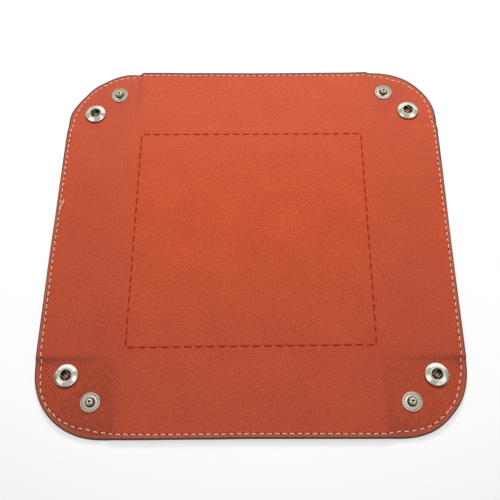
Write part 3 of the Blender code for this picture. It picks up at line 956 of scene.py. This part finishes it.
bm = bmesh.new()
step = 2 * sewnAt / stitch["squareCount"]
for side, degrees in sides.items():
    dx, dy = turned(1, 0, degrees)
    for i in range(stitch["squareCount"]):
        x, y = turned((i + 0.5) * step - sewnAt, sewnAt, degrees)
        thin = Matrix.Scale(stitch["backThin"] if side == "back" else 1.0, 4, (0, 1, 0))
        stamp(bm, squareDash, standOn(x, y, dx, dy, stitch["squareRise"]) @ thin, 0)
        x, y = turned(i * step - sewnAt, sewnAt, degrees)
        small = Matrix.Scale(stitch["squareHole"], 4)
        stamp(bm, holeCup, standOn(x, y, dx, dy, stitch["squareHoleRise"]) @ small, 1)
piece = addPiece("square_seam_stitches", bm, [redThread, needleHoleShade], "base")
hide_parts("square_seam_thread")
print("square seam sewn")


def arcPoints(cx, cz, radius, start, end, steps):
    angles = [radians(between(start, end, i / steps)) for i in range(steps + 1)]
    return [(cx + radius * cos(a), cz + radius * sin(a)) for a in angles]


def spun(profile, steps):
    bm = bmesh.new()
    verts = [bm.verts.new((r, 0, z)) for r, z in profile]
    loop = verts + verts[:1] if profile[0][0] > 0 else verts
    edges = [bm.edges.new(pair) for pair in zip(loop, loop[1:])]
    turn = {"cent": (0, 0, 0), "axis": (0, 0, 1), "dvec": (0, 0, 0), "angle": 2 * pi}
    bmesh.ops.spin(bm, geom=verts + edges, steps=steps, use_merge=True, **turn)
    bmesh.ops.remove_doubles(bm, verts=bm.verts, dist=1e-4)
    faceOutwards(bm)
    return bm


snap = {
    "along": 23.0,  # out from the fold line
    "from": 9.4,  # from the end crease
    "seat": 0.2,
    "cuts": 24,
    "cutDepth": 0.22,
    "cutShare": 0.1,  # half of a cut's share of the pitch
    "cutRing": (3.5, 4.65),  # radii that the cuts run between
    "cutFrom": 0.3,  # height of the flange's face
    "cutDark": (0.1, 0.32),  # heights of the cuts' sides, made dark as painted shade
    "socketFoot": 0.42,  # painted shade: the socket is made dark below this height
    "socketBore": (2.95, 1.5),  # and inside this radius below this height
    "studBowl": (1.2, 2.6, 1.15),  # painted shade: the stud is made dark between these radii, below this height
    "capDark": -0.5,  # painted shade: the cap is made dark above this height
    "capFloor": (1.29, 0.5),  # the bore's floor: its radius and half height
    # painted shade: the rivet's pit is made dark inside this radius, above this height
    "rivetPit": (0.58, 2.2),
    "headDrop": 0.7,  # how far the heads under the leather stand out, and how much less at their rims
    "headCrown": 0.4,
}


def socketProfile():  # radii and heights in millimetres, as in the three profiles below
    seat = snap["seat"]
    swings = [sin(t * pi / 20) for t in range(1, 10)]
    return [
        (1.6, seat), (5.4, seat), (5.4, seat + 0.35),
        *arcPoints(5.98, seat + 0.52, 0.22, -120, 40, 6),
        *[(6.15 - 2.3 * swing, seat + 0.66 + 1.04 * swing**0.8) for swing in swings],
        *arcPoints(3.3, seat + 1.12, 0.6, 90, 180, 6),
        (2.68, seat + 0.8), (3.1, seat + 0.55), (3.1, seat + 0.4), (1.6, seat + 0.4),
    ]


def headUnder(radius, shaft):  # the domed head under the leather, up to the foot of its shaft
    seat = -pinched - snap["seat"]
    shares = [t / 8 for t in range(9)]
    dome = [(radius * share, seat - snap["headDrop"] + snap["headCrown"] * share**4) for share in shares]
    return [*dome, (radius, seat), (shaft, seat)]


def capProfile():
    rolled = arcPoints(1.6, 0.75, 0.2, -60, 120, 5)
    return [*headUnder(6.0, 1.5), (1.5, 0.7), *rolled, (1.35, 0.8), (1.3, 0.6), (1.3, 0.1), (0, 0.1)]


def studProfile():
    seat = snap["seat"]
    return [
        (1.0, seat), (4.95, seat),
        *arcPoints(4.8, seat + 0.2, 0.2, -50, 100, 5),
        (4.6, seat + 0.37), (3.6, seat + 0.42), (3.3, seat + 0.40), (3.05, seat + 0.32), (2.55, seat + 0.34),
        *arcPoints(2.2, seat + 0.42, 0.22, 20, 140, 5),
        (1.8, seat + 0.5), (1.55, seat + 0.68),
        *arcPoints(0.75, seat + 1.3, 1.18, -32, 82, 12),
        (0.8, seat + 2.46),
    ]


def rivetProfile():
    rolled = arcPoints(0.86, 2.68, 0.2, -40, 130, 4)
    return [*headUnder(4.8, 0.75), (0.75, 2.62), *rolled, (0.6, 2.7), (0.5, 2.3), (0, 2.25)]


def knurl(bm):  # short radial cuts round the stud's flange
    inner, outer = snap["cutRing"]
    for v in bm.verts:
        turns = atan2(v.co.y, v.co.x) / (2 * pi) * snap["cuts"]
        inCut = abs(turns - round(turns)) < snap["cutShare"]
        if inCut and inner < hypot(v.co.x, v.co.y) < outer and v.co.z > snap["seat"] + snap["cutFrom"]:
            v.co.z -= snap["cutDepth"]


def isPaintedShade(part, radius, height):  # painted shade: where the metal is made dark, in the bores, below the rims, round the stud's neck, in the cuts and in the rivet's pit
    aboveSeat = height - snap["seat"]
    if part == "socket":
        bore, top = snap["socketBore"]
        return aboveSeat < snap["socketFoot"] or (radius < bore and height < top)
    if part == "stud":
        inner, outer, top = snap["studBowl"]
        inBowl = inner < radius < outer and aboveSeat < top
        inner, outer = snap["cutRing"]
        low, high = snap["cutDark"]
        return inBowl or (inner < radius < outer and low < aboveSeat < high)
    if part == "socket_cap":
        return height > snap["capDark"]
    pit, floor = snap["rivetPit"]
    return radius < pit and height > floor


def addSnapPart(part, profile, steps, side, end, corner, spot):
    bm = spun(profile(), steps)
    if part == "stud":
        knurl(bm)
    boreRadius, boreHeight = snap["capFloor"]
    for face in bm.faces:
        middle = face.calc_center_median()
        radius = hypot(middle.x, middle.y)
        inBore = part == "socket_cap" and abs(middle.z) < boreHeight and radius < boreRadius
        face.material_index = 1 if inBore else 2 if isPaintedShade(part, radius, middle.z) else 0
    smoothUpTo(bm, 35)
    turn = Matrix.Rotation(chance.uniform(0, 6), 3, "Z")
    bmesh.ops.rotate(bm, cent=(0, 0, 0), matrix=turn, verts=bm.verts)
    bmesh.ops.translate(bm, vec=spot, verts=bm.verts)
    metals = [brightNickel, boreFloor, paintedShadeNickel]
    piece = addPiece(f"{part}_{corner}_metal", bm, metals, f"{side}_{end}_gusset")
    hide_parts(f"{part}_{corner}")


snapParts = {  # each half's parts with their profiles and steps round, and its walls
    "socket": ({"socket": (socketProfile, 72), "socket_cap": (capProfile, 48)}, ("left", "right")),
    "stud": ({"stud": (studProfile, 144), "stud_rivet": (rivetProfile, 48)}, ("front", "back")),
}
for kind, (parts, walls) in snapParts.items():
    for side in walls:
        for hand, end in ends[side].items():
            corner = f"{side}_{end}" if kind == "stud" else f"{end}_{side}"
            x, y = turned(hand * (foldAt + snap["from"]), foldAt + snap["along"], sides[side])
            for part, (profile, steps) in parts.items():
                addSnapPart(part, profile, steps, side, end, corner, (x, y, tray["top"]))
            if kind == "socket":
                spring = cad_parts[f"socket_spring_{corner}"]
                spring.data.materials.clear()
                spring.data.materials.append(springWire)
print("snaps set")


stageLook = {
    "floor": (0.40, 0.40, 0.40),
    "floorHalf": 3.0,
    "floorDrop": 0.0001,
    "glowCentre": (0.01, 0.12, 0.0),
    "floorGlow": ((0.235, 0.6), (0.3, 0.53), (0.7, 1.0)),  # how white the paper glows at distances from there; its dip out to 0.3 m is painted shade, a soft grey on the floor round the tray
    "worldLight": 0.25,
    "glossLight": (0.03, 1.15),  # what polished metal sees at the horizon and overhead
    "glossHeights": (0.28, 0.68),
    "glossTilt": 0.35,  # how much brighter it is towards the back than towards the front
    "patches": (1.5, 0.38, 0.51, 0.42),  # of darker patches: scale, limits and lowest light
    "lamps": {  # place, size and power
        "softBox": ((0.0, 0.25, 1.0), 1.2, 6.2),
        "window": ((0.0, 0.5, 0.5), 0.18, 3.0),
    },
}


def seenBy(tree, *rays):  # 1 for what any of these rays meets
    path = tree.nodes.new("ShaderNodeLightPath")
    seen = 0.0
    for ray in rays:
        seen = plus(tree, path.outputs[f"Is {ray} Ray"], seen)
    return mathNode(tree, "MINIMUM", seen, 1.0)


def addFloor():
    bm = bmesh.new()
    bmesh.ops.create_grid(bm, x_segments=1, y_segments=1, size=stageLook["floorHalf"])
    mesh = meshFrom(bm, "floor")
    floor = newObject("floor", mesh)
    floor.location.z = -stageLook["floorDrop"]
    material, tree, shader = newMaterial("floorPaper", 0.9)
    shader.inputs["Base Color"].default_value = (*stageLook["floor"], 1)
    shader.inputs["Specular IOR Level"].default_value = 0.0
    shader.inputs["Emission Color"].default_value = (1, 1, 1, 1)
    far = addNode(tree, "ShaderNodeVectorMath", operation="DISTANCE")
    tree.links.new(tree.nodes.new("ShaderNodeTexCoord").outputs["Object"], far.inputs[0])
    far.inputs[1].default_value = stageLook["glowCentre"]
    glow = tree.nodes.new("ShaderNodeValToRGB")
    glow.color_ramp.interpolation = "EASE"
    glow.color_ramp.elements.new(0.5)
    for stop, (reach, level) in zip(glow.color_ramp.elements, stageLook["floorGlow"]):
        stop.position = reach
        stop.color = (level, level, level, 1)
    tree.links.new(far.outputs["Value"], glow.inputs[0])
    seen = seenBy(tree, "Camera", "Transmission", "Glossy")
    strength = times(tree, seen, glow.outputs[0])
    tree.links.new(strength, shader.inputs["Emission Strength"])
    mesh.materials.append(material)


def setWorld():
    world = bpy.data.worlds.new("studio")
    world.use_nodes = True
    tree = world.node_tree
    background = tree.nodes["Background"]
    axes = tree.nodes.new("ShaderNodeSeparateXYZ")
    direction = tree.nodes.new("ShaderNodeTexCoord").outputs["Generated"]
    tree.links.new(direction, axes.inputs[0])
    height = times(tree, axes.outputs["Y"], stageLook["glossTilt"])
    height = plus(tree, height, mathNode(tree, "ABSOLUTE", axes.outputs["Z"], 0.0))
    sky = mapRange(tree, height, (*stageLook["glossHeights"], *stageLook["glossLight"]))
    scale, low, high, least = stageLook["patches"]
    cloud = addNoise(tree, direction, scale, 1.0)
    sky = times(tree, sky, mapRange(tree, cloud, (low, high, least, 1.0)))
    sky = mathNode(tree, "SUBTRACT", sky, stageLook["worldLight"])
    seen = seenBy(tree, "Camera", "Transmission")
    seen = times(tree, seen, 1 - stageLook["worldLight"])
    glossy = times(tree, seenBy(tree, "Glossy"), sky)
    strength = plus(tree, plus(tree, seen, glossy), stageLook["worldLight"])
    background.inputs["Color"].default_value = (1, 1, 1, 1)
    tree.links.new(strength, background.inputs["Strength"])
    bpy.context.scene.world = world


def addLamp(name, spot, size, power):
    lamp = bpy.data.lights.new(name, "AREA")
    lamp.energy = power
    lamp.size = size
    holder = newObject(name, lamp)
    holder.visible_glossy = False  # the sky gradient is what the metal mirrors
    holder.location = spot
    holder.rotation_euler = (-Vector(spot)).to_track_quat("-Z", "Y").to_euler()


view = {"spot": (0.0076, -0.1682, 0.3506), "turn": (-24.385, -1.198, 0.411), "lens": 50.1, "sensor": 36.0}


def addCamera():
    data = bpy.data.cameras.new("photo")
    data.lens = view["lens"]
    data.sensor_width = view["sensor"]
    data.clip_start = 0.01
    camera = newObject("photo", data)
    turns = [Matrix.Rotation(radians(a), 3, axis) for a, axis in zip(view["turn"], "XYZ")]
    turn = (turns[2] @ turns[1] @ turns[0]).transposed()
    camera.matrix_world = Matrix.Translation(view["spot"]) @ turn.to_4x4()
    bpy.context.scene.camera = camera


addFloor()
setWorld()
for name, (spot, size, power) in stageLook["lamps"].items():
    addLamp(name, spot, size, power)
addCamera()
bpy.context.scene.view_settings.view_transform = "Standard"
print("stage set")
